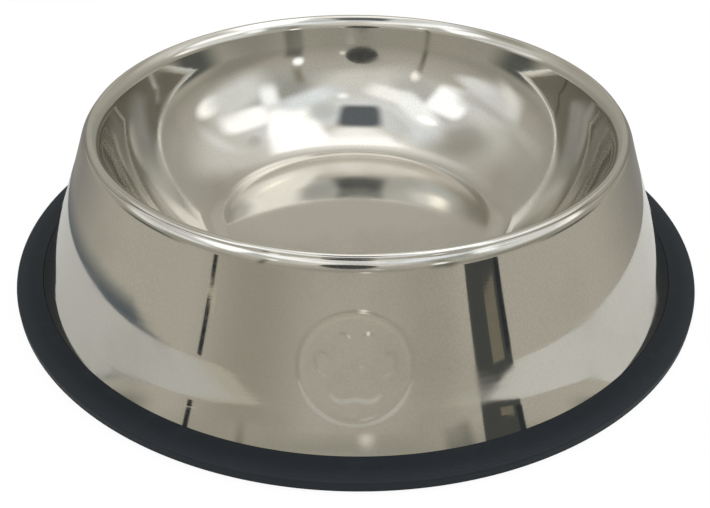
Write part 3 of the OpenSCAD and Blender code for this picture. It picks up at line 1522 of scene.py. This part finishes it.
@dataclass
class Studio:
    """The pale floor, the soft room that the steel mirrors, and the dark camera body.

    Steel mirrors the floor as a board, whose edge is where |across| + board_slant * back is
    board_edge. Beyond it lies a band of shade, and then the room shows. Low loss is the share of
    low light that is lost on a ray that has turned more than one_turn times in steel, and
    low_loss_up says between which heights, in degrees, it comes in.
    """

    camera: PhotoCamera = field(default_factory=PhotoCamera)
    floor_r: float = 3000.0
    floor_hole_r: float = 126.0
    floor_sides: int = 240
    floor_gloss: float = 0.1
    seen_strength: float = 1.05
    seen_share: float = 0.88
    floor_grey: float = 0.8
    right_grey: float = 0.95
    far_grey: Colour = (0.72, 0.69, 0.61)
    near_board: float = 200.0
    far_board: float = 900.0
    board_edge: float = 181.0
    board_slant: float = 0.91
    board_shift: float = 4.0
    board_soft: float = 5.0
    edge_shade: Colour = (0.15, 0.18, 0.21)
    shade_w: float = 100.0
    shade_near_share: float = 0.35
    shade_y: float = 120.0
    shade_taper: float = 0.35
    body_w: float = 108.0
    body_h: float = 100.0
    body_d: float = 60.0
    body_rise: float = -16.0
    body_right: float = -14.0
    body_colour: Colour = (0.12, 0.125, 0.13)
    body_roughness: float = 0.8
    body_sides: int = 48
    matt: float = 0.9
    room_turns_back: tuple[float, float] = (90.0, 140.0)
    low_loss: float = 0.42
    low_loss_up: tuple[float, float] = (36.0, 28.0)
    one_turn: float = 1.5

    @staticmethod
    def paint(name: str, colour: Colour, roughness: float) -> bpy.types.Material:
        """Return a plain paint for what isn't part of the object.

        Args:
            name: the paint's name.
            colour: its colour.
            roughness: its roughness.

        Returns:
            The paint.
        """
        made, _, shader = new_material(name)
        shader.inputs["Base Color"].default_value = (*colour, 1.0)
        shader.inputs["Roughness"].default_value = roughness
        return made

    def board(self, net: Net, across: Socket, y: Socket) -> Socket:
        """Return the board's colour, which changes from side to side and with the distance.

        Args:
            net: the floor paint's nodes.
            across: distance to the right of the board's middle.
            y: distance behind the bowl.

        Returns:
            The colour.
        """
        far = net.smooth(y, -self.far_board * MM, -self.near_board * MM)
        side = net.smooth(across, -self.board_edge * MM, self.board_edge * MM)
        near = net.mix(side, (self.floor_grey,) * 3, (self.right_grey,) * 3)
        return net.mix(far, self.far_grey, near)

    def past_shade(self, net: Net, slant: Socket, across: Socket, y: Socket) -> Socket:
        """Return where the shade beyond the board's edge ends.

        Args:
            net: the floor paint's nodes.
            slant: distance from the board's middle, as its edge measures it.
            across: distance to the right of the board's middle.
            y: distance behind the bowl.

        Returns:
            How much of the room shows, from 0 to 1.
        """
        right = net.times(net.math("GREATER_THAN", across, 0.0), self.shade_w * MM)
        off = net.math("ABSOLUTE", net.plus(y, self.shade_y * MM))
        reach = net.plus(net.plus(slant, right), net.times(off, self.shade_taper))
        low = self.board_edge + self.shade_near_share * self.shade_w
        return net.smooth(reach, low * MM, (self.board_edge + self.shade_w) * MM)

    def floor_paint(self) -> bpy.types.Material:
        """Build the floor's paint, which the camera sees as white with a faint shadow.

        Steel mirrors it as a board with slanting edges, and the room shows beyond them. It is
        clear from below.

        Returns:
            The paint.
        """
        made, net, paint = new_material("studio_floor")
        paint.inputs["Roughness"].default_value = self.matt
        paint.inputs["Specular IOR Level"].default_value = self.floor_gloss
        x, y, _ = net.split(net.surface())
        across = net.math("SUBTRACT", x, self.board_shift * MM)
        slant = net.plus(net.math("ABSOLUTE", across), net.times(y, self.board_slant))
        soft = self.board_edge + self.board_soft
        rays = net.rays()
        beyond = net.smooth(slant, self.board_edge * MM, soft * MM)
        mirrored = net.times(beyond, rays["Is Glossy Ray"])
        colour = net.mix(mirrored, self.board(net, across, y), self.edge_shade)
        net.feed(paint.inputs["Base Color"], colour)
        lit = net.node("Emission")
        net.feed(lit.inputs["Color"], WHITE)
        net.feed(lit.inputs["Strength"], self.seen_strength)
        clear = net.node("BsdfTransparent").outputs[0]
        seen = net.times(rays["Is Camera Ray"], self.seen_share)
        gone = net.times(self.past_shade(net, slant, across, y), mirrored)
        below = net.node("NewGeometry").outputs["Backfacing"]
        shown = net.blend(seen, paint.outputs[0], lit.outputs[0])
        shown = net.blend(below, net.blend(gone, shown, clear), clear)
        net.feed(net.tree.nodes["Material Output"].inputs["Surface"], shown)
        return made

    def floor(self) -> bpy.types.Object:
        """Build the floor, which is open under the bowl so that its underside can be looked at.

        Returns:
            The floor, which isn't part of the object.
        """
        mesh = bmesh.new()
        bmesh.ops.create_circle(mesh, segments=self.floor_sides, radius=self.floor_hole_r * MM)
        made = bmesh.ops.extrude_edge_only(mesh, edges=mesh.edges[:])
        outer = [part for part in made["geom"] if isinstance(part, bmesh.types.BMVert)]
        spread = self.floor_r / self.floor_hole_r
        bmesh.ops.scale(mesh, vec=(spread, spread, 1.0), verts=outer)
        mesh.normal_update()
        if mesh.faces[:][0].normal.z < 0.0:
            bmesh.ops.reverse_faces(mesh, faces=mesh.faces[:])
        floor = new_object(mesh, "studio_floor")
        floor.data.materials.append(self.floor_paint())
        return floor

    def panel(self, stand: Stand) -> bpy.types.Object:
        """Build an upright panel of the room, which only the steel sees.

        Args:
            stand: what it stands for.

        Returns:
            The panel, which isn't part of the object.
        """
        name = stand.name.replace(" ", "_")
        made = new_object(stand.mesh(), name)
        made.visible_camera = False
        made.visible_diffuse = False
        made.visible_shadow = False
        made.data.materials.append(self.paint(name, stand.colour, self.matt))
        return made

    def camera_body(self) -> bpy.types.Object:
        """Build the dark camera body, which only the steel sees.

        Returns:
            The body, which isn't part of the object.
        """
        mesh = bmesh.new()
        sides = self.body_sides
        bmesh.ops.create_uvsphere(mesh, u_segments=sides, v_segments=sides // 2, radius=MM / 2)
        bmesh.ops.scale(mesh, vec=(self.body_w, self.body_h, self.body_d), verts=mesh.verts[:])
        right, up, back = self.camera.axes()
        turn = Matrix([right, up, back]).transposed().to_4x4()
        off = back * self.body_d / 2 + up * self.body_rise + right * self.body_right
        place = Matrix.Translation(self.camera.place() + off * MM)
        bmesh.ops.transform(mesh, matrix=place @ turn, verts=mesh.verts[:])
        for face in mesh.faces:
            face.smooth = True
        body = new_object(mesh, "camera_body")
        body.visible_camera = False
        body.data.materials.append(self.paint(body.name, self.body_colour, self.body_roughness))
        return body

    def room(self) -> None:
        """Set the world, which lights the bowl from all round and stands white behind it.

        Low light is dimmer for steel that is seen in steel.
        """
        world = bpy.data.worlds.new("soft_room")
        bpy.context.scene.world = world
        world.use_nodes = True
        net = Net(world.node_tree)
        direction = net.node("TexCoord").outputs["Generated"]
        x, y, z = net.split(direction)
        side = net.math("ABSOLUTE", net.math("ARCTAN2", x, net.times(y, -1.0)))
        behind = net.smooth(side, *(math.radians(turn) for turn in self.room_turns_back))
        height = net.math("DIVIDE", net.math("ARCSINE", z), math.radians(LEVEL))
        plain = net.mix(behind, net.ramp(height, ROOM_FRONT), net.ramp(height, ROOM_BACK))
        colour = plain
        group = room_shape()
        for shape in ROOM_SHAPES:
            colour = net.mix(shape.mask(net, group, direction), colour, shape.colour)
        rays = net.rays()
        again = net.math("GREATER_THAN", rays["Glossy Depth"], self.one_turn)
        low = net.smooth(height, *(up / LEVEL for up in self.low_loss_up))
        colour = net.mix(net.times(again, net.times(low, self.low_loss)), colour, BLACK)
        bare = net.blend(rays["Is Camera Ray"], net.sky(plain), net.sky(WHITE))
        shown = net.blend(rays["Is Glossy Ray"], bare, net.sky(colour))
        net.feed(net.tree.nodes["World Output"].inputs["Surface"], shown)


def main() -> None:
    """Build the bowl and the studio round it."""
    logging.basicConfig(level=logging.INFO, format="%(message)s")
    bpy.context.scene.view_settings.view_transform = "Standard"
    PhotoCamera().build()
    effects = Effects()
    dressed = (
        (FeedingPan(), SteelFinish("pan_steel", satin_out=50.0)),
        (OuterSkirt(), SteelFinish("skirt_steel", scuff_depth=0.0008)),
        (BaseRing(), RubberFinish()),
    )
    for part, finish in dressed:
        piece = part.build()
        piece.data.materials.append(finish.material(effects))
        LOG.info("%s: %d faces", piece.name, len(piece.data.polygons))
    studio = Studio()
    studio.floor()
    studio.camera_body()
    for stand in STANDS:
        studio.panel(stand)
    studio.room()


if __name__ == "__main__":
    main()
